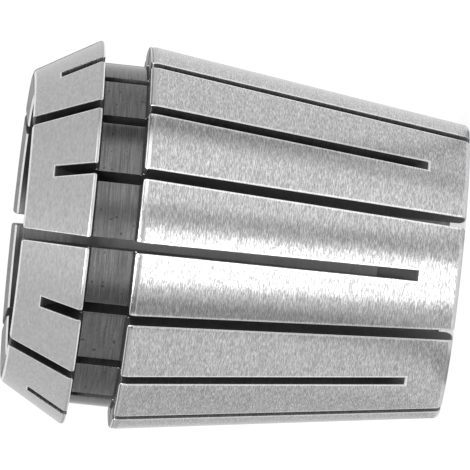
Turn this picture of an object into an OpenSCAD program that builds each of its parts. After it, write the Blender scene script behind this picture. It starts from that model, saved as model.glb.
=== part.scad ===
// Double-slit spring collet for a tapered tool holder. It stands on its small rear face with the
// nose up, and its bore runs along Z. The origin is the centre of the rear face. Lengths are in
// millimetres and angles in degrees.

/* [Seating taper] */
// Diameter at the shoulder, before its edge is broken
taper_d = 41; // [40:0.1:44]
// Half angle of the taper
taper_angle = 8; // [6:0.25:8.5]
// Length from the rear face to the shoulder
taper_len = 34.6; // [30:0.1:38]
// Width of the broken edge round the rear face
rear_break = 0.3; // [0.1:0.05:0.4]
// Width of the broken edge round the shoulder
shoulder_break = 0.3; // [0.1:0.05:0.8]

/* [Extraction groove] */
// Diameter of the groove's floor
groove_d = 36.4; // [35:0.1:39]
// Width of the groove, from the shoulder to the back of the nose
groove_len = 4.9; // [3:0.1:7]
// Radius in the groove's corners
groove_corner = 0.5; // [0.2:0.05:0.8]

/* [Nose] */
// Largest diameter of the nose, on its land
nose_d = 40.9; // [40.4:0.1:43]
// Half angle of the clamping cone
nose_angle = 30; // [25:0.5:32]
// Length of the nose, from its back to the front face
nose_len = 7.1; // [6:0.1:8]
// Width of the land at the back of the nose, with its broken edge
nose_land = 0.4; // [0.3:0.05:1]
// Width of the broken edge at the back of the nose
nose_break = 0.15; // [0.05:0.05:0.25]
// Width of the broken edge round the front face
front_break = 0.25; // [0.1:0.05:0.5]
// Width of the flat ring round the front face, outside its hollow
front_rim = 0.5; // [0.2:0.05:1]
// Depth of the shallow hollow in the front face, at the bore's mouth
front_hollow = 0.3; // [0.1:0.05:0.6]

/* [Bore] */
// Diameter of the relaxed bore
bore_d = 27.5; // [12:0.5:28]
// Width of the countersink at the bore's front end
bore_front_break = 0.2; // [0.1:0.05:0.6]
// Width of the countersink at the bore's rear end
bore_rear_break = 0.6; // [0.2:0.05:0.8]

/* [Slots] */
// Number of slots sawn from each end
slots_each_end = 8; // [3:1:9]
// Width of a slot
slot_w = 1.12; // [0.4:0.02:1.6]
// Length of the rear bridge, from the rear face to the front slots' ends in the taper
rear_bridge = 4.4; // [3:0.1:12]
// Length of the nose bridge, from the front face to the rear slots' ends in the clamping cone
nose_bridge = 2.7; // [1.5:0.1:4]
// Diameter of the saw that cuts the slots, which leaves its arc at their ends
saw_d = 63; // [50:1:80]
// Depth that the saw reaches past the bore's wall
saw_past_wall = 3; // [1:0.5:5]

/* [Hidden] */
$fn = 180;

// Clearance by which a cutter runs past the metal that it cuts
run_out = 1;

taper_r = taper_d / 2;
groove_r = groove_d / 2;
nose_r = nose_d / 2;
bore_r = bore_d / 2;
saw_r = saw_d / 2;

// Heights above the rear face
nose_back_z = taper_len + groove_len;
cone_start_z = nose_back_z + nose_land;
total_len = nose_back_z + nose_len;

// Radius of the slots' straight floor and distance of the saw's spindle from the collet's axis
slot_floor_r = bore_r - saw_past_wall;
spindle_r = slot_floor_r + saw_r;

// Angle from one slot to the next from the same end
slot_pitch = 360 / slots_each_end;

// Radius of the seating taper, and of the clamping cone, at a height
function taper_r_at(z) = taper_r - (taper_len - z) * tan(taper_angle);
function cone_r_at(z) = nose_r - (z - cone_start_z) * tan(nose_angle);

// Radius of the front face inside its broken edge
face_r = cone_r_at(total_len - front_break) - front_break;

// Distance along the collet from the saw's spindle to its rim, where the rim crosses a radius
function rim_offset(r) = sqrt(pow(saw_r, 2) - pow(spindle_r - r, 2));

// Half of the turned outline, from the axis outwards, before the groove is cut
module blank_outline() {
    polygon([
        [0, 0],
        [taper_r_at(0) - rear_break, 0],
        [taper_r_at(rear_break), rear_break],
        [taper_r_at(taper_len - shoulder_break), taper_len - shoulder_break],
        [taper_r - shoulder_break, taper_len],
        [nose_r - nose_break, nose_back_z],
        [nose_r, nose_back_z + nose_break],
        [nose_r, cone_start_z],
        [cone_r_at(total_len - front_break), total_len - front_break],
        [face_r, total_len],
        [0, total_len]
    ]);
}

// The extraction groove's outline: square sides, with a radius where they meet the floor
module groove_outline() {
    reach = max(taper_r, nose_r) + run_out - groove_r;
    translate([groove_r, taper_len + groove_corner])
        square([reach, groove_len - 2 * groove_corner]);
    translate([groove_r + groove_corner, taper_len])
        square([reach - groove_corner, groove_len]);
    for (z = [taper_len + groove_corner, nose_back_z - groove_corner])
        translate([groove_r + groove_corner, z])
            circle(r = groove_corner);
}

// The bore's outline, with a countersink at each end and the front face's shallow hollow
module bore_outline() {
    mouth_z = total_len - front_hollow;
    polygon([
        [0, -run_out],
        [bore_r + bore_rear_break + run_out, -run_out],
        [bore_r, bore_rear_break],
        [bore_r, mouth_z - bore_front_break],
        [bore_r + bore_front_break, mouth_z],
        [face_r - front_rim, total_len],
        [face_r - front_rim, total_len + run_out],
        [0, total_len + run_out]
    ]);
}

// The turned and bored blank
module blank() {
    rotate_extrude()
        difference() {
            blank_outline();
            groove_outline();
            bore_outline();
        }
}

// Room swept by the saw on its way in from the front, with its spindle stopped at a height
module saw_sweep(spindle_z) {
    rotate([90, 0, 0])
        linear_extrude(height = slot_w, center = true) {
            translate([spindle_r, spindle_z])
                circle(r = saw_r);
            translate([slot_floor_r, spindle_z])
                square([saw_r, total_len + run_out - spindle_z]);
        }
}

// Slots that open at the nose and end in the seating taper
module front_slots() {
    spindle_z = rear_bridge + rim_offset(taper_r_at(rear_bridge));
    for (i = [0 : slots_each_end - 1])
        rotate(i * slot_pitch)
            saw_sweep(spindle_z);
}

// Slots that open at the rear face and end in the clamping cone, midway between the others
module rear_slots() {
    spindle_z = nose_bridge + rim_offset(cone_r_at(total_len - nose_bridge));
    for (i = [0 : slots_each_end - 1])
        rotate((i + 0.5) * slot_pitch)
            translate([0, 0, total_len])
                mirror([0, 0, 1])
                    saw_sweep(spindle_z);
}

// The whole collet, in one piece
module collet() {
    color([0.72, 0.72, 0.73])
        difference() {
            blank();
            front_slots();
            rear_slots();
        }
}

collet();
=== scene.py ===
"""A double-slit spring collet for a tapered tool holder, ground, turned and sawn from one bar of steel.

It stands on its small rear face with the nose up. The camera sees it from the side and slightly from
above, rolled so that the nose is at the left of the picture.
"""
import math
from collections import namedtuple

import bmesh
import bpy
from mathutils import Matrix, Vector


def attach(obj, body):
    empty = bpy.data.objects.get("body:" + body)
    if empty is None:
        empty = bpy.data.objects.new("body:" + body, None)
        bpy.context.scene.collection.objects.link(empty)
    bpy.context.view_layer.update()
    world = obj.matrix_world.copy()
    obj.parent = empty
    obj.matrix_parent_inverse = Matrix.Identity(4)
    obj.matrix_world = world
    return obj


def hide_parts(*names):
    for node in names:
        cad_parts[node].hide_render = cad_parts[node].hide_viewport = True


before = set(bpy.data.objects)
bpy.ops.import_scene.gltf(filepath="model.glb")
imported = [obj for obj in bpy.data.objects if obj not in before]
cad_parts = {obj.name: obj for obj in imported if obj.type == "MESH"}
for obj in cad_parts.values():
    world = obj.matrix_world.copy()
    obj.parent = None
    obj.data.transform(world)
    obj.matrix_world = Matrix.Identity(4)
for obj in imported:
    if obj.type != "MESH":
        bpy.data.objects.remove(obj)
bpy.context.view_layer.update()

MM = 0.001

# The collet's sizes in millimetres, as in the part's source

TAPER_R = 20.5
TAPER_ANGLE = math.radians(8)
TAPER_LEN = 34.6
GROOVE_R = 18.2
NOSE_BACK_Z = 39.5
NOSE_R = 20.45
NOSE_ANGLE = math.radians(30)
CONE_START_Z = 39.9
TOTAL_LEN = 46.6
BORE_R = 13.75
BORE_FRONT_BREAK = 0.2
BORE_REAR_BREAK = 0.6
FRONT_BREAK = 0.25
FRONT_RIM = 0.5
FRONT_HOLLOW = 0.3
SLOTS_EACH_END = 8
SLOT_PITCH = math.tau / SLOTS_EACH_END
SLOT_W = 1.12
REAR_BRIDGE = 4.4
NOSE_BRIDGE = 2.7
SAW_R = 31.5
SAW_PAST_WALL = 3
SLOT_FLOOR_R = BORE_R - SAW_PAST_WALL
SPINDLE_R = SLOT_FLOOR_R + SAW_R

# Clearance by which the saw runs past the metal
RUN_OUT = 1

# Edge work in millimetres, finer than in the part's source

# Height at which the ground taper ends and the turned lead-in to the shoulder starts
LEAD_IN_Z = 33.88
# How far the lead-in leans in towards the nose
LEAD_IN_LEAN = math.radians(2.2)
LEAD_IN_ROUNDING = 0.12
# Width of the broken edge round the shoulder
SHOULDER_BREAK = 0.07
# Distance over which the edge round the small rear face is rounded
REAR_ROUNDING = 0.42
# Radius where the groove's floor meets its sides
GROOVE_CORNER = 0.25
NOSE_BACK_ROUNDING = 0.15
LAND_ROUNDING = 0.02
FRONT_ROUNDING = 0.3
BORE_REAR_ROUNDING = 0.1
# Rounding of the faces' other corners
FACE_ROUNDING = 0.05

# Width of the broken edge that deburring left along the slots, and the least angle that has one
SLOT_BREAK = 0.06
SLOT_BREAK_ANGLE = math.radians(30)
SLOT_BREAK_STEPS = 2

# Rounding of the slots' corners where they open, and how far out from the axis it is cut
MOUTH_ROUNDING = 0.27
MOUTH_STEPS = 5
MOUTH_REACH = 22
# Where the rounding starts: inside the bore's wall, and above the groove's floor
MOUTH_INSIDE_BORE = 1
MOUTH_ABOVE_GROOVE = 0.2

# How finely curves are drawn

TURN_STEPS = 240
SAW_STEPS = 28
SAW_ARC = math.radians(55)
SHARP_ANGLE = math.radians(50)
# Distances within which points are one, before and after the slots' edges are broken
SAME_POINT = 1e-4
SAME_POINT_AFTER_BREAK = 1e-3

# How far the middle of a face may lie from the surface whose finish it has, in millimetres
FACET_SLACK = 0.02
TAPER_SLACK = 0.04
GROOVE_FLOOR_SLACK = 0.0005
CORNER_SLACK = 0.01
LEAD_IN_SLACK = 0.2
SHOULDER_SLACK = 0.3
BREAK_AT_BORE_SLACK = 0.2
BREAK_AT_GROOVE_SLACK = 0.1

# The finishes, in the order of the collet's material slots
(GROUND_TAPER, GROUND_CONE, TURNED_GROOVE, TURNED_FACE, BORED_WALL, SAWN_WALL, SAWN_FLOOR,
 BROKEN_EDGE, RUBBED_EDGE, LEAD_IN, TURNED_LAND, GROOVE_FILLET) = range(12)


def taper_r_at(z):
    """Radius of the seating taper at a height."""
    return TAPER_R - (TAPER_LEN - z) * math.tan(TAPER_ANGLE)


def cone_r_at(z):
    """Radius of the clamping cone at a height."""
    return NOSE_R - (z - CONE_START_Z) * math.tan(NOSE_ANGLE)


def section_corners():
    """Corners of the section, as radius, height, distance over which each is rounded, and steps."""
    face_r = cone_r_at(TOTAL_LEN - FRONT_BREAK) - FRONT_BREAK
    shoulder_r = taper_r_at(LEAD_IN_Z) - (TAPER_LEN - LEAD_IN_Z) * math.tan(LEAD_IN_LEAN)
    return [
        (BORE_R + BORE_REAR_BREAK, 0, FACE_ROUNDING, 2),
        (taper_r_at(0), 0, REAR_ROUNDING, 5),
        (taper_r_at(LEAD_IN_Z), LEAD_IN_Z, LEAD_IN_ROUNDING, 3),
        (shoulder_r, TAPER_LEN, SHOULDER_BREAK, 4),
        (GROOVE_R, TAPER_LEN, GROOVE_CORNER, 6),
        (GROOVE_R, NOSE_BACK_Z, GROOVE_CORNER, 6),
        (NOSE_R, NOSE_BACK_Z, NOSE_BACK_ROUNDING, 3),
        (NOSE_R, CONE_START_Z, LAND_ROUNDING, 1),
        (cone_r_at(TOTAL_LEN), TOTAL_LEN, FRONT_ROUNDING, 4),
        (face_r - FRONT_RIM, TOTAL_LEN, FACE_ROUNDING, 2),
        (BORE_R + BORE_FRONT_BREAK, TOTAL_LEN - FRONT_HOLLOW, FACE_ROUNDING, 2),
        (BORE_R, TOTAL_LEN - FRONT_HOLLOW - BORE_FRONT_BREAK, FACE_ROUNDING, 2),
        (BORE_R, BORE_REAR_BREAK, BORE_REAR_ROUNDING, 2),
    ]


def finish_at(r, z):
    """The finish of the turned surface at a radius and height."""
    if r < BORE_R + FACET_SLACK:
        return BORED_WALL
    if z > TOTAL_LEN - FRONT_HOLLOW - BORE_FRONT_BREAK and r < BORE_R + BORE_FRONT_BREAK:
        return RUBBED_EDGE
    # The rounding round the rear face is a broken edge with the brighter deburred finish, which also
    # paints in light where it faces down
    if 0 < z < REAR_ROUNDING and r > taper_r_at(z) - REAR_ROUNDING:
        return BROKEN_EDGE
    if z < LEAD_IN_Z and r > taper_r_at(z) - TAPER_SLACK:
        return GROUND_TAPER
    if TAPER_LEN - SHOULDER_BREAK < z < TAPER_LEN and r > TAPER_R - SHOULDER_SLACK:
        return RUBBED_EDGE
    if z < TAPER_LEN and r > taper_r_at(z) - LEAD_IN_SLACK:
        return LEAD_IN
    if TAPER_LEN < z < NOSE_BACK_Z and r < GROOVE_R + GROOVE_CORNER - CORNER_SLACK:
        return TURNED_GROOVE if r < GROOVE_R + GROOVE_FLOOR_SLACK else GROOVE_FILLET
    nose_edge = NOSE_BACK_ROUNDING - CORNER_SLACK
    if NOSE_BACK_Z < z < NOSE_BACK_Z + nose_edge and r > NOSE_R - nose_edge:
        return RUBBED_EDGE
    if NOSE_BACK_Z < z < CONE_START_Z:
        return TURNED_LAND
    if z > CONE_START_Z and r > cone_r_at(z) - FACET_SLACK:
        return GROUND_CONE
    if TOTAL_LEN - FRONT_ROUNDING < z < TOTAL_LEN and r > cone_r_at(z) - FRONT_ROUNDING:
        return RUBBED_EDGE
    return TURNED_FACE


def radius_and_height(face):
    """Distance of a face's middle from the collet's axis, and its height."""
    middle = face.calc_center_median()
    return math.hypot(middle.x, middle.y), middle.z


def turned_blank():
    """The turned and bored ring before it is slotted, in millimetres."""
    bm = bmesh.new()
    corners = section_corners()
    verts = [bm.verts.new((r, 0, z)) for r, z, _, _ in corners]
    bm.faces.new(verts)
    for vert, (_, _, rounding, steps) in zip(verts, corners):
        bmesh.ops.bevel(bm, geom=[vert], offset=rounding, offset_type="OFFSET", segments=steps,
                        profile=0.5, affect="VERTICES", material=-1)
    bmesh.ops.delete(bm, geom=bm.faces[:], context="FACES_ONLY")
    bmesh.ops.spin(bm, geom=bm.verts[:] + bm.edges[:], cent=(0, 0, 0), axis=(0, 0, 1),
                   angle=math.tau, steps=TURN_STEPS, use_merge=True)
    bmesh.ops.remove_doubles(bm, verts=bm.verts[:], dist=SAME_POINT)
    bmesh.ops.recalc_face_normals(bm, faces=bm.faces[:])
    for face in bm.faces:
        face.material_index = finish_at(*radius_and_height(face))
    return bm


def new_points(bm):
    """The points added since the last block was put in its place."""
    return [v for v in bm.verts if not v.tag]


def pull_block(bm, outline, pull):
    """Makes a solid block: the face with this outline, pulled along a vector."""
    made = bmesh.ops.extrude_face_region(bm, geom=[bm.faces.new(outline)])["geom"]
    pulled = [g for g in made if isinstance(g, bmesh.types.BMVert)]
    bmesh.ops.translate(bm, verts=pulled, vec=pull)


def put_in_place(bm, turn):
    """Turns the newest block round the collet's axis to its place."""
    block = new_points(bm)
    bmesh.ops.rotate(bm, verts=block, cent=(0, 0, 0), matrix=Matrix.Rotation(turn, 3, "Z"))
    for v in block:
        v.tag = True


def rim_offset(r):
    """Distance along the collet from the saw's spindle to its rim, where the rim crosses a radius."""
    return math.sqrt(SAW_R ** 2 - (SPINDLE_R - r) ** 2)


def saw_cut(bm, spindle_z, turn, from_rear):
    """Adds the room that the saw sweeps in one slot: a plate with the saw's arc at its end."""
    start = bm.verts.new((SLOT_FLOOR_R, -SLOT_W / 2, spindle_z))
    bmesh.ops.spin(bm, geom=[start], cent=(SPINDLE_R, 0, spindle_z), axis=(0, -1, 0), angle=SAW_ARC,
                   steps=SAW_STEPS, use_merge=False)
    outline = sorted(new_points(bm), key=lambda v: -v.co.z)
    for x in (outline[-1].co.x, SLOT_FLOOR_R):
        outline.append(bm.verts.new((x, -SLOT_W / 2, TOTAL_LEN + RUN_OUT)))
    pull_block(bm, outline, (0, SLOT_W, 0))
    if from_rear:
        block = new_points(bm)
        bmesh.ops.scale(bm, verts=block, vec=(1, 1, -1))
        bmesh.ops.translate(bm, verts=block, vec=(0, 0, TOTAL_LEN))
    put_in_place(bm, turn)


def saw_cuts():
    """All sixteen slots' room, in millimetres."""
    bm = bmesh.new()
    front_z = REAR_BRIDGE + rim_offset(taper_r_at(REAR_BRIDGE))
    rear_z = NOSE_BRIDGE + rim_offset(cone_r_at(TOTAL_LEN - NOSE_BRIDGE))
    for i in range(SLOTS_EACH_END):
        saw_cut(bm, front_z, i * SLOT_PITCH, False)
        saw_cut(bm, rear_z, (i + 0.5) * SLOT_PITCH, True)
    bmesh.ops.recalc_face_normals(bm, faces=bm.faces[:])
    for face in bm.faces:
        is_wall = len(face.verts) > 4
        face.material_index = SAWN_WALL if is_wall else SAWN_FLOOR
    return bm


def mouth_cut(bm, face_z, open_side, inner_r, turn):
    """Adds the room that rounds both corners of a slot where it opens at a face.

    The open side is 1 where the metal lies below the face, and -1 where it lies above.
    """
    half = SLOT_W / 2 + MOUTH_ROUNDING
    start = bm.verts.new((inner_r, -half, face_z))
    centre = (inner_r, -half, face_z - open_side * MOUTH_ROUNDING)
    bmesh.ops.spin(bm, geom=[start], cent=centre, axis=(-open_side, 0, 0), angle=math.pi / 2,
                   steps=MOUTH_STEPS, use_merge=False)
    arc = new_points(bm)
    edges = [e for e in bm.edges if not e.verts[0].tag]
    other = bmesh.ops.duplicate(bm, geom=arc + edges)["geom"]
    bmesh.ops.scale(bm, verts=[g for g in other if isinstance(g, bmesh.types.BMVert)], vec=(1, -1, 1))
    outline = sorted(new_points(bm), key=lambda v: v.co.y)
    beyond = face_z + open_side * MOUTH_ROUNDING
    outline += [bm.verts.new((inner_r, y, beyond)) for y in (half, -half)]
    pull_block(bm, outline, (MOUTH_REACH - inner_r, 0, 0))
    put_in_place(bm, turn)


def mouth_cuts():
    """The room that rounds the slots' corners where they open, in millimetres."""
    bm = bmesh.new()
    in_bore, in_groove = BORE_R - MOUTH_INSIDE_BORE, GROOVE_R + MOUTH_ABOVE_GROOVE
    for i in range(2 * SLOTS_EACH_END):
        turn = i * SLOT_PITCH / 2
        opens_at_rear = i % 2
        if opens_at_rear:
            mouth_cut(bm, 0, -1, in_bore, turn)
        else:
            mouth_cut(bm, TOTAL_LEN, 1, in_bore, turn)
        mouth_cut(bm, TAPER_LEN, 1, in_groove, turn)
        mouth_cut(bm, NOSE_BACK_Z, -1, in_groove, turn)
    bmesh.ops.recalc_face_normals(bm, faces=bm.faces[:])
    for face in bm.faces:
        face.material_index = SAWN_WALL
    return bm


def add_to_scene(name, data):
    """A new object with this mesh, lamp or camera, in the scene."""
    obj = bpy.data.objects.new(name, data)
    bpy.context.scene.collection.objects.link(obj)
    return obj


def as_object(bm, name, materials):
    """Turns a bmesh into an object with the given materials."""
    mesh = bpy.data.meshes.new(name)
    bm.to_mesh(mesh)
    bm.free()
    for m in materials:
        mesh.materials.append(m)
    return add_to_scene(name, mesh)


def final_mesh(obj):
    """The object's mesh with its modifiers applied."""
    graph = bpy.context.evaluated_depsgraph_get()
    return bpy.data.meshes.new_from_object(obj.evaluated_get(graph), preserve_all_data_layers=True,
                                           depsgraph=graph)


def slotted(blank, rooms):
    """The blank's mesh with each of the rooms cut out of it in turn."""
    for room in rooms:
        cut = blank.modifiers.new("cut", "BOOLEAN")
        cut.operation = "DIFFERENCE"
        cut.solver = "EXACT"
        cut.object = room
    return final_mesh(blank)


def break_slot_edges(bm):
    """Rounds the edges where a sawn wall meets a turned surface."""
    sawn = (SAWN_WALL, SAWN_FLOOR)
    edges = [e for e in bm.edges if len(e.link_faces) == 2 and e.calc_face_angle(0) > SLOT_BREAK_ANGLE
             and sum(face.material_index in sawn for face in e.link_faces) == 1]
    bmesh.ops.bevel(bm, geom=edges, offset=SLOT_BREAK, offset_type="OFFSET", segments=SLOT_BREAK_STEPS,
                    profile=0.5, affect="EDGES", material=BROKEN_EDGE, clamp_overlap=False,
                    loop_slide=True)
    for face in bm.faces:
        if face.material_index != BROKEN_EDGE:
            continue
        r, z = radius_and_height(face)
        if r < BORE_R + BREAK_AT_BORE_SLACK:
            face.material_index = BORED_WALL
        elif z > NOSE_BACK_Z + MOUTH_ROUNDING:
            face.material_index = SAWN_WALL
        elif z > TAPER_LEN and r < GROOVE_R + BREAK_AT_GROOVE_SLACK:
            face.material_index = TURNED_GROOVE


def mark_sharp(bm):
    """Makes every face smooth and keeps the sharper edges."""
    for face in bm.faces:
        face.smooth = True
    for edge in bm.edges:
        edge.smooth = not (len(edge.link_faces) == 2 and edge.calc_face_angle(0) > SHARP_ANGLE)


def build_collet(materials):
    """The collet as one piece, in metres."""
    blank = as_object(turned_blank(), "blank", materials)
    slots = as_object(saw_cuts(), "slots", materials)
    mouths = as_object(mouth_cuts(), "mouths", materials)
    bm = bmesh.new()
    bm.from_mesh(slotted(blank, (slots, mouths)))
    bmesh.ops.remove_doubles(bm, verts=bm.verts[:], dist=SAME_POINT)
    break_slot_edges(bm)
    bmesh.ops.remove_doubles(bm, verts=bm.verts[:], dist=SAME_POINT_AFTER_BREAK)
    bmesh.ops.recalc_face_normals(bm, faces=bm.faces[:])
    mark_sharp(bm)
    bmesh.ops.scale(bm, verts=bm.verts[:], vec=(MM, MM, MM))
    rough = as_object(bm, "rough", materials)
    weighted = rough.modifiers.new("normals", "WEIGHTED_NORMAL")
    weighted.mode = "FACE_AREA"
    weighted.keep_sharp = True
    obj = add_to_scene("collet_body", final_mesh(rough))
    for spare in (blank, slots, mouths, rough):
        bpy.data.objects.remove(spare)
    return obj


# Nodes that the materials are made of


def new_group(name, inputs, outputs):
    """A shader node group with named inputs, as name, socket type and default, and named outputs."""
    group = bpy.data.node_groups.new(name, "ShaderNodeTree")
    for label, kind, default in inputs:
        socket = group.interface.new_socket(label, in_out="INPUT", socket_type=kind)
        if default is not None:
            socket.default_value = default
    for label in outputs:
        group.interface.new_socket(label, in_out="OUTPUT", socket_type="NodeSocketFloat")
    return group, group.nodes.new("NodeGroupInput").outputs, group.nodes.new("NodeGroupOutput").inputs


def feed(tree, value, socket):
    """Links an output to a socket, or sets the socket to a plain value."""
    if isinstance(value, bpy.types.NodeSocket):
        tree.links.new(value, socket)
    else:
        socket.default_value = value


def calc(tree, operation, a, b=0.0, clamp=False):
    """A Math node's result."""
    node = tree.nodes.new("ShaderNodeMath")
    node.operation = operation
    node.use_clamp = clamp
    feed(tree, a, node.inputs[0])
    feed(tree, b, node.inputs[1])
    return node.outputs[0]


def noise(tree, vector, detail, roughness):
    """A Noise Texture's value on a vector."""
    node = tree.nodes.new("ShaderNodeTexNoise")
    tree.links.new(vector, node.inputs["Vector"])
    node.inputs["Scale"].default_value = 1
    node.inputs["Detail"].default_value = detail
    node.inputs["Roughness"].default_value = roughness
    return node.outputs["Fac"]


def remap(tree, value, low, high, to_low=0.0, to_high=1.0, smooth=False):
    """A Map Range node's result, held within its limits."""
    node = tree.nodes.new("ShaderNodeMapRange")
    node.interpolation_type = "SMOOTHSTEP" if smooth else "LINEAR"
    feed(tree, value, node.inputs["Value"])
    for label, v in (("From Min", low), ("From Max", high), ("To Min", to_low), ("To Max", to_high)):
        feed(tree, v, node.inputs[label])
    return node.outputs["Result"]


def stretched(tree, position, around, along):
    """A position measured in one length round the axis and in another along it."""
    sizes = tree.nodes.new("ShaderNodeCombineXYZ")
    for axis, size in (("X", around), ("Y", around), ("Z", along)):
        feed(tree, size, sizes.inputs[axis])
    node = tree.nodes.new("ShaderNodeVectorMath")
    node.operation = "DIVIDE"
    tree.links.new(position, node.inputs[0])
    tree.links.new(sizes.outputs[0], node.inputs[1])
    return node.outputs[0]


def split(tree, vector):
    """A vector's three numbers."""
    axes = tree.nodes.new("ShaderNodeSeparateXYZ")
    tree.links.new(vector, axes.inputs[0])
    return axes.outputs["X"], axes.outputs["Y"], axes.outputs["Z"]


# The middle of a noise's values, and how far from it most of them reach
NOISE_MIDDLE = 0.5
NOISE_REACH = 0.28


def centred(tree, value):
    """A noise's value spread out from its middle to run from 0 to 1."""
    return remap(tree, value, NOISE_MIDDLE - NOISE_REACH, NOISE_MIDDLE + NOISE_REACH)


# Effects that the finishes share, each a group of nodes

POSITION = ("Position", "NodeSocketVector", None)

# Value of the lines' noise at which a line is at its brightest
LINE_FULL = 0.78
# How many times as long and as wide as a line the broader bands are
BAND_LENGTH = 5.0
BAND_WIDTH = 3.0


def cutting_lines_group():
    """Short lines that grinding or turning leaves round the axis, and broader bands of them."""
    group, start, end = new_group(
        "Cutting lines",
        [POSITION, ("Line Width", "NodeSocketFloat", 0.0001), ("Line Length", "NodeSocketFloat", 0.001),
         ("Streak From", "NodeSocketFloat", 0.22)],
        ["Lines", "Bands", "Height"])
    width, length = start["Line Width"], start["Line Length"]
    lines = noise(group, stretched(group, start["Position"], length, width), detail=2.0, roughness=0.6)
    wide = stretched(group, start["Position"], calc(group, "MULTIPLY", length, BAND_LENGTH),
                     calc(group, "MULTIPLY", width, BAND_WIDTH))
    group.links.new(lines, end["Height"])
    group.links.new(remap(group, lines, start["Streak From"], LINE_FULL), end["Lines"])
    group.links.new(centred(group, noise(group, wide, detail=2.0, roughness=0.5)), end["Bands"])
    return group


def mottle_group():
    """Soft uneven patches from handling and oil."""
    group, start, end = new_group("Mottle", [POSITION, ("Size", "NodeSocketFloat", 0.001)], ["Mottle"])
    patches = noise(group, stretched(group, start["Position"], start["Size"], start["Size"]),
                    detail=3.0, roughness=0.6)
    group.links.new(centred(group, patches), end["Mottle"])
    return group


# Value of the specks' noise at which a speck would start if the amount were none, and how soon it
# is at its darkest
SPECK_START = 0.8
SPECK_SOFTNESS = 0.06


def specks_group():
    """Sparse small pits and stains. Amount is the share of the noise's range that counts as a speck."""
    group, start, end = new_group(
        "Specks",
        [POSITION, ("Size", "NodeSocketFloat", 0.0005), ("Amount", "NodeSocketFloat", 0.1)],
        ["Specks"])
    spots = noise(group, stretched(group, start["Position"], start["Size"], start["Size"]),
                  detail=1.0, roughness=0.5)
    edge = calc(group, "SUBTRACT", SPECK_START, start["Amount"])
    full = calc(group, "ADD", edge, SPECK_SOFTNESS)
    group.links.new(remap(group, spots, edge, full), end["Specks"])
    return group


# Length and width in millimetres of the notches in the painted shade band's frayed edge, and how deep
# they go
FRAY_LENGTH = 1.2
FRAY_WIDTH = 0.4
FRAY_DEPTH = 4.0
# Shares of the painted shade band's half width at which it starts to fade, and is gone
SHADE_FADES = 0.6
SHADE_GONE = 1.1


def painted_shade_band_group():
    """A band of painted shade round the collet at one height, with a frayed edge."""
    group, start, end = new_group(
        "Painted shade band",
        [POSITION, ("Height", "NodeSocketFloat", 0.0), ("Width", "NodeSocketFloat", 0.0003),
         ("Fray", "NodeSocketFloat", 0.4)],
        ["ShadeBand"])
    _, _, z = split(group, start["Position"])
    off = calc(group, "ABSOLUTE", calc(group, "SUBTRACT", z, start["Height"]))
    away = calc(group, "DIVIDE", off, start["Width"])
    ragged = noise(group, stretched(group, start["Position"], FRAY_LENGTH * MM, FRAY_WIDTH * MM),
                   detail=2.0, roughness=0.6)
    shift = calc(group, "MULTIPLY", calc(group, "SUBTRACT", ragged, NOISE_MIDDLE), start["Fray"])
    away = calc(group, "ADD", away, calc(group, "MULTIPLY", shift, FRAY_DEPTH))
    group.links.new(remap(group, away, SHADE_FADES, SHADE_GONE, 1.0, 0.0, smooth=True), end["ShadeBand"])
    return group


# Length in millimetres of the frays in the painted highlight beside the slots, round the axis and along
# it
HIGHLIGHT_FRAY_AROUND = 0.15
HIGHLIGHT_FRAY_ALONG = 0.6
# Shares of the painted highlight's width at which it starts to fade, and is gone
HIGHLIGHT_FADES = 0.7
HIGHLIGHT_GONE = 1.1


def slot_edge_highlight_group():
    """A painted highlight along the edges of the slots, with a frayed edge."""
    group, start, end = new_group(
        "Slot edge highlight", [POSITION, ("Width", "NodeSocketFloat", 0.0001)], ["Wear"])
    x, y, z = split(group, start["Position"])
    radius = calc(group, "SQRT", calc(group, "ADD", calc(group, "MULTIPLY", x, x),
                                      calc(group, "MULTIPLY", y, y)))
    to_front_slot = calc(group, "PINGPONG", calc(group, "ARCTAN2", y, x), SLOT_PITCH / 2)
    to_rear_slot = calc(group, "SUBTRACT", SLOT_PITCH / 2, to_front_slot)
    frays = stretched(group, start["Position"], HIGHLIGHT_FRAY_AROUND * MM, HIGHLIGHT_FRAY_ALONG * MM)
    ragged = noise(group, frays, detail=2.0, roughness=0.6)
    reach = calc(group, "MULTIPLY", start["Width"], calc(group, "ADD", ragged, NOISE_MIDDLE))
    painted_highlight = 0.0
    for turn, past_end in ((to_front_slot, calc(group, "SUBTRACT", REAR_BRIDGE * MM, z)),
                           (to_rear_slot, calc(group, "SUBTRACT", z, (TOTAL_LEN - NOSE_BRIDGE) * MM))):
        off_middle = calc(group, "MULTIPLY", radius, calc(group, "SINE", turn))
        beside = calc(group, "SUBTRACT", off_middle, SLOT_W / 2 * MM)
        away = calc(group, "DIVIDE", calc(group, "MAXIMUM", beside, past_end), reach)
        here = remap(group, away, HIGHLIGHT_FADES, HIGHLIGHT_GONE, 1.0, 0.0, smooth=True)
        painted_highlight = calc(group, "MAXIMUM", painted_highlight, here)
    group.links.new(painted_highlight, end["Wear"])
    return group


CUTTING_LINES = cutting_lines_group()
MOTTLE = mottle_group()
SPECKS = specks_group()
PAINTED_SHADE_BAND = painted_shade_band_group()
SLOT_EDGE_HIGHLIGHT = slot_edge_highlight_group()

# What makes up a finish. Lengths are in millimetres, and spreads are shares of the value that varies

# Width, length and depth of the cutting lines, their spreads of tone and roughness, the value of
# their noise from which they brighten, and how much of the tone's spread is darker and brighter
Lines = namedtuple("Lines", "width length depth tone rough start dark bright",
                   defaults=(0.22, 1.0, 1.0))
Mottle = namedtuple("Mottle", "size tone")
Specks = namedtuple("Specks", "size amount darkness")
# Height and half width of a band of painted shade, the tone's factor in it, and how frayed its edge is
ShadeBand = namedtuple("ShadeBand", "height half_width factor fray")
# Width of the painted highlight beside the slots, and the tone's factor there
SlotWear = namedtuple("SlotWear", "width factor")

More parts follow.
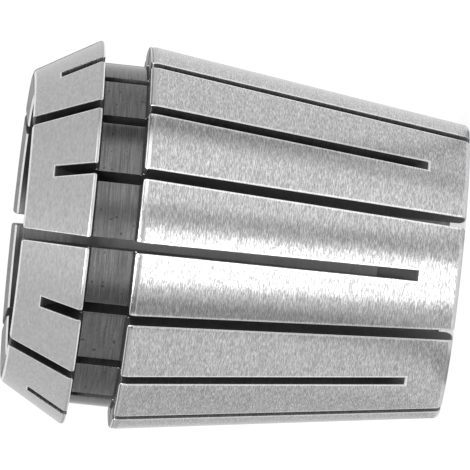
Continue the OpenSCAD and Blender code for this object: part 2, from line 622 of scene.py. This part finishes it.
# Share of the lines' spread of tone that the broader bands have
BANDS_SHARE = 1 / 5

# Turns of the direction in which a highlight spreads: along the collet, and round it
ALONG = 0.25
AROUND = 0.0


def use_group(tree, group, values):
    """Places a group in a material with its own values."""
    node = tree.nodes.new("ShaderNodeGroup")
    node.node_tree = group
    for label, value in values.items():
        feed(tree, value, node.inputs[label])
    return node.outputs


def spread(tree, value, share):
    """A value from 0 to 1 turned into a factor around 1."""
    return remap(tree, value, 0.0, 1.0, 1 - share, 1 + share)


def cut_steel(name, colour, roughness, anisotropy, lines, mottle, specks=None, painted_shade=None,
              slot_highlight=None, spreads=ALONG):
    """Steel as a cutter left it, grey of the given colour, with a band of painted shade and painted
    highlights beside the slots where they are given.
    """
    m = bpy.data.materials.new(name)
    m.use_nodes = True
    tree = m.node_tree
    bsdf = tree.nodes["Principled BSDF"]
    position = tree.nodes.new("ShaderNodeTexCoord").outputs["Object"]
    cut = use_group(tree, CUTTING_LINES, {"Position": position, "Line Width": lines.width * MM,
                                          "Line Length": lines.length * MM, "Streak From": lines.start})
    patches = use_group(tree, MOTTLE, {"Position": position, "Size": mottle.size * MM})
    factors = [spread(tree, cut["Bands"], lines.tone * BANDS_SHARE),
               spread(tree, patches["Mottle"], mottle.tone)]
    if specks:
        spots = use_group(tree, SPECKS, {"Position": position, "Size": specks.size * MM,
                                         "Amount": specks.amount})
        factors.append(remap(tree, spots["Specks"], 0.0, 1.0, 1.0, 1 - specks.darkness))
    # Painted shade: the tone is darkened in a band at one height
    if painted_shade:
        here = use_group(tree, PAINTED_SHADE_BAND, {"Position": position, "Height": painted_shade.height * MM,
                                           "Width": painted_shade.half_width * MM, "Fray": painted_shade.fray})
        factors.append(remap(tree, here["ShadeBand"], 0.0, 1.0, 1.0, painted_shade.factor))
    # Painted highlight: the tone is brightened beside the slots
    if slot_highlight:
        highlighted = use_group(tree, SLOT_EDGE_HIGHLIGHT, {"Position": position, "Width": slot_highlight.width * MM})
        factors.append(remap(tree, highlighted["Wear"], 0.0, 1.0, 1.0, slot_highlight.factor))
    darkest, brightest = 1 - lines.tone * lines.dark, 1 + lines.tone * lines.bright
    tone = remap(tree, cut["Lines"], 0.0, 1.0, darkest, brightest)
    for factor in factors:
        tone = calc(tree, "MULTIPLY", tone, factor)
    tone = calc(tree, "MULTIPLY", tone, colour, clamp=True)
    grey = tree.nodes.new("ShaderNodeCombineColor")
    for channel in ("Red", "Green", "Blue"):
        tree.links.new(tone, grey.inputs[channel])
    tree.links.new(grey.outputs[0], bsdf.inputs["Base Color"])
    rough = calc(tree, "MULTIPLY", spread(tree, cut["Lines"], lines.rough), roughness)
    tree.links.new(rough, bsdf.inputs["Roughness"])
    bump = tree.nodes.new("ShaderNodeBump")
    bump.inputs["Distance"].default_value = lines.depth * MM
    tree.links.new(cut["Height"], bump.inputs["Height"])
    tree.links.new(bump.outputs["Normal"], bsdf.inputs["Normal"])
    bsdf.inputs["Metallic"].default_value = 1
    bsdf.inputs["Anisotropic"].default_value = anisotropy
    bsdf.inputs["Anisotropic Rotation"].default_value = spreads
    return m


# The lines that each way of working leaves
TAPER_GRINDING = Lines(0.085, 0.58, 0.007, 0.54, 0.23, start=0.42, dark=0.35, bright=1.7)
CONE_GRINDING = Lines(0.17, 0.50, 0.004, 0.17, 0.12)
LEAD_IN_GRINDING = Lines(0.085, 0.58, 0.0002, 0.25, 0.20)
GROOVE_TURNING = Lines(0.13, 3.50, 0.005, 0.42, 0.20)
FACE_TURNING = Lines(0.20, 3.00, 0.010, 0.35, 0.20)
LAND_TURNING = Lines(0.15, 1.50, 0.004, 0.15, 0.20)
BORING = Lines(0.30, 5.00, 0.010, 0.10, 0.20)
SAWING = Lines(0.20, 1.50, 0.010, 0.15, 0.10)
DEBURRING = Lines(0.20, 0.60, 0.003, 0.10, 0.20)
RUBBING = Lines(0.20, 0.60, 0.003, 0.08, 0.20)

# Name, colour, roughness and anisotropy, then the lines, the mottle and what else a finish has
MATERIALS = [
    # The ground taper and the nose cone are brightened beside the slots: painted edge highlights
    cut_steel("ground_taper", 0.515, 0.306, 1.00, TAPER_GRINDING, Mottle(0.45, 0.05),
              slot_highlight=SlotWear(0.24, 1.85)),
    cut_steel("ground_cone", 0.54, 0.25, 0.50, CONE_GRINDING, Mottle(0.45, 0.05),
              slot_highlight=SlotWear(0.17, 1.65)),
    cut_steel("turned_groove", 0.14, 0.17, 0.20, GROOVE_TURNING, Mottle(0.60, 0.12),
              specks=Specks(0.60, 0.13, 0.5)),
    cut_steel("turned_face", 0.24, 0.40, 0.30, FACE_TURNING, Mottle(0.45, 0.15),
              specks=Specks(0.60, 0.16, 0.5)),
    # Painted shade: the bored wall is darkened towards the front face, down to a fifth of its tone
    cut_steel("bored_wall", 0.39, 0.34, 0.20, BORING, Mottle(0.60, 0.06),
              painted_shade=ShadeBand(43.0, 8.0, 0.20, 0.0)),
    # Painted shade: the sawn walls are darkened to half their tone towards the front face
    cut_steel("sawn_wall", 0.27, 0.42, 0.00, SAWING, Mottle(0.60, 0.10),
              painted_shade=ShadeBand(43.5, 4.0, 0.50, 0.0)),
    # Its dark colour is painted shade on the slots' sawn floors, darker than the same sawn metal on the
    # walls
    cut_steel("sawn_floor", 0.09, 0.55, 0.00, SAWING, Mottle(0.60, 0.10)),
    cut_steel("broken_edge", 0.72, 0.24, 0.00, DEBURRING, Mottle(0.50, 0.10)),
    cut_steel("rubbed_edge", 0.95, 0.24, 0.00, RUBBING, Mottle(0.50, 0.08)),
    # Painted shade: a dark frayed line on the lead-in just below the shoulder's bright edge; and, as on
    # the taper, a painted highlight beside the slots
    cut_steel("lead_in", 0.55, 0.17, 0.92, LEAD_IN_GRINDING, Mottle(0.45, 0.05),
              painted_shade=ShadeBand(34.42, 0.08, 0.50, 0.2), slot_highlight=SlotWear(0.24, 1.60), spreads=AROUND),
    cut_steel("turned_land", 0.52, 0.30, 0.00, LAND_TURNING, Mottle(0.50, 0.05)),
    # Its dark colour is painted shade in the groove's inner corners, darker than the turned groove
    # itself
    cut_steel("groove_fillet", 0.07, 0.80, 0.00, GROOVE_TURNING, Mottle(0.60, 0.12)),
]

collet = build_collet(MATERIALS)
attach(collet, "root")
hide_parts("collet")

# The floor

FLOOR_HALF = 4.0
FLOOR_GAP = 0.05 * MM
FLOOR_COLOUR = 0.48
# Glow of the floor that the camera sees, and of the floor that the metal reflects
WHITE_GLOW = 0.64
SIDE_GLOW = 0.45
FRONT_GLOW = 0.38
# Azimuths between which the reflected floor turns from its front glow to its side glow
GLOW_START = 74
GLOW_FULL = 92

# A gap in the pale surround. Azimuths and widths are in degrees
Gap = namedtuple("Gap", "azimuth half_width softness depth")
# Gaps between the pale panels round the collet
GAPS = [Gap(-42, 9, 3, 1.0), Gap(74, 6, 3, 1.0), Gap(15, 4.5, 3, 0.6)]
# The floor's dimmer side
DIM_SIDE = Gap(-127, 38, 15, 0.62)

# The camera's place round the collet, from the front. Azimuths are counted from there
CAMERA_TURN = math.radians(2.75)


def azimuth_and_height(tree, vector):
    """Azimuth of a point or direction, positive towards the picture's top, and its height."""
    turned = tree.nodes.new("ShaderNodeMapping")
    turned.vector_type = "VECTOR"
    turned.inputs["Rotation"].default_value = (0, 0, -CAMERA_TURN)
    tree.links.new(vector, turned.inputs["Vector"])
    x, y, z = split(tree, turned.outputs["Vector"])
    forward = calc(tree, "MULTIPLY", y, -1.0)
    return calc(tree, "DEGREES", calc(tree, "ARCTAN2", x, forward)), z


def left_by_gaps(tree, azimuth, gaps):
    """How much of the surround is left at an azimuth: 1 on a panel, less in a gap."""
    left = 1.0
    for gap in gaps:
        off = calc(tree, "ABSOLUTE", calc(tree, "SUBTRACT", azimuth, gap.azimuth))
        here = remap(tree, off, gap.half_width - gap.softness, gap.half_width + gap.softness,
                     1 - gap.depth, 1.0, smooth=True)
        left = calc(tree, "MULTIPLY", here, left)
    return left


def floor_material():
    """A pale matt floor that looks white, also in the metal, and is clear when seen from below."""
    m = bpy.data.materials.new("floor")
    m.use_nodes = True
    tree = m.node_tree
    bsdf = tree.nodes["Principled BSDF"]
    bsdf.inputs["Base Color"].default_value = (FLOOR_COLOUR, FLOOR_COLOUR, FLOOR_COLOUR, 1)
    bsdf.inputs["Roughness"].default_value = 1
    bsdf.inputs["Specular IOR Level"].default_value = 0
    bsdf.inputs["Emission Color"].default_value = (1, 1, 1, 1)
    place = tree.nodes.new("ShaderNodeTexCoord").outputs["Object"]
    azimuth, _ = azimuth_and_height(tree, place)
    around = remap(tree, calc(tree, "ABSOLUTE", azimuth), GLOW_START, GLOW_FULL, FRONT_GLOW, SIDE_GLOW,
                   smooth=True)
    around = calc(tree, "MULTIPLY", around, left_by_gaps(tree, azimuth, GAPS + [DIM_SIDE]))
    path = tree.nodes.new("ShaderNodeLightPath").outputs
    mirrored = calc(tree, "ADD", path["Is Glossy Ray"], path["Is Transmission Ray"], clamp=True)
    glow = calc(tree, "ADD", calc(tree, "MULTIPLY", path["Is Camera Ray"], WHITE_GLOW),
                calc(tree, "MULTIPLY", mirrored, around))
    tree.links.new(glow, bsdf.inputs["Emission Strength"])
    from_below = tree.nodes.new("ShaderNodeNewGeometry").outputs["Backfacing"]
    tree.links.new(calc(tree, "SUBTRACT", 1.0, from_below), bsdf.inputs["Alpha"])
    return m


bm = bmesh.new()
bmesh.ops.create_grid(bm, x_segments=1, y_segments=1, size=FLOOR_HALF,
                      matrix=Matrix.Translation((0, 0, -FLOOR_GAP)))
floor = as_object(bm, "floor", [floor_material()])

# The camera: rolled, just above the horizontal, far off with a long lens

AIM = Vector((0, 0, 0.023))
CAMERA_TILT = math.radians(2.79)
CAMERA_ROLL = math.radians(83.87)
CAMERA_DISTANCE = 2.156
PIXELS_PER_METRE = 9398
PICTURE_PIXELS = 470
SIDE_SHIFT = 0.00029
UP_SHIFT = -0.001487
SENSOR_WIDTH = 36
NEAREST_SEEN = 0.1
FARTHEST_SEEN = 50


def camera_axes():
    """Forward, right and up of the picture."""
    forward = Vector((0, math.cos(CAMERA_TILT), -math.sin(CAMERA_TILT)))
    level = Vector((1, 0, 0))
    rise = Vector((0, math.sin(CAMERA_TILT), math.cos(CAMERA_TILT)))
    right = math.cos(CAMERA_ROLL) * level - math.sin(CAMERA_ROLL) * rise
    up = math.cos(CAMERA_ROLL) * rise + math.sin(CAMERA_ROLL) * level
    turn = Matrix.Rotation(CAMERA_TURN, 3, "Z")
    return turn @ forward, turn @ right, turn @ up


def add_camera():
    """The photograph's camera."""
    forward, right, up = camera_axes()
    data = bpy.data.cameras.new("camera")
    data.sensor_width = SENSOR_WIDTH
    data.lens = SENSOR_WIDTH * PIXELS_PER_METRE * CAMERA_DISTANCE / PICTURE_PIXELS
    data.clip_start = NEAREST_SEEN
    data.clip_end = FARTHEST_SEEN
    cam = add_to_scene("camera", data)
    place = AIM - forward * CAMERA_DISTANCE - right * SIDE_SHIFT - up * UP_SHIFT
    axes = Matrix((right, up, -forward)).transposed().to_4x4()
    cam.matrix_world = Matrix.Translation(place) @ axes
    bpy.context.scene.camera = cam


add_camera()

# The light

SURROUND_LEVEL = 0.80
# Height at which the panels end and the closed top starts, and how softly one turns into the other
PANEL_TOP = math.radians(34)
PANEL_TOP_SOFTNESS = 0.1


def add_softbox(name, azimuth, elevation, distance, width, height, brightness):
    """A soft lamp aimed at the collet. Angles are in degrees, and the rest is in metres."""
    a = math.radians(azimuth) + CAMERA_TURN
    e = math.radians(elevation)
    away = Vector((math.sin(a) * math.cos(e), -math.cos(a) * math.cos(e), math.sin(e)))
    data = bpy.data.lights.new(name, "AREA")
    data.shape = "RECTANGLE"
    data.size = width
    data.size_y = height
    data.energy = brightness * math.pi * width * height
    lamp = add_to_scene(name, data)
    lamp.location = AIM + away * distance
    lamp.rotation_mode = "QUATERNION"
    lamp.rotation_quaternion = (-away).to_track_quat("-Z", "Y")


def set_world():
    """An even pale surround of upright panels with gaps between them, under a closed top."""
    world = bpy.data.worlds.new("surround")
    world.use_nodes = True
    tree = world.node_tree
    direction = tree.nodes.new("ShaderNodeTexCoord").outputs["Generated"]
    azimuth, height = azimuth_and_height(tree, direction)
    top = remap(tree, height, math.sin(PANEL_TOP) - PANEL_TOP_SOFTNESS,
                math.sin(PANEL_TOP) + PANEL_TOP_SOFTNESS, smooth=True)
    panels = calc(tree, "MAXIMUM", left_by_gaps(tree, azimuth, GAPS), top)
    seen = tree.nodes.new("ShaderNodeLightPath").outputs["Is Camera Ray"]
    level = calc(tree, "MAXIMUM", calc(tree, "MULTIPLY", panels, SURROUND_LEVEL), seen)
    back = tree.nodes["Background"]
    back.inputs["Color"].default_value = (1, 1, 1, 1)
    tree.links.new(level, back.inputs["Strength"])
    bpy.context.scene.world = world


add_softbox("key", azimuth=-9.75, elevation=17, distance=1.0, width=0.545, height=0.20, brightness=26.0)
add_softbox("side", azimuth=44, elevation=12, distance=1.0, width=0.75, height=0.40, brightness=1.40)
set_world()

bpy.context.scene.view_settings.view_transform = "Standard"
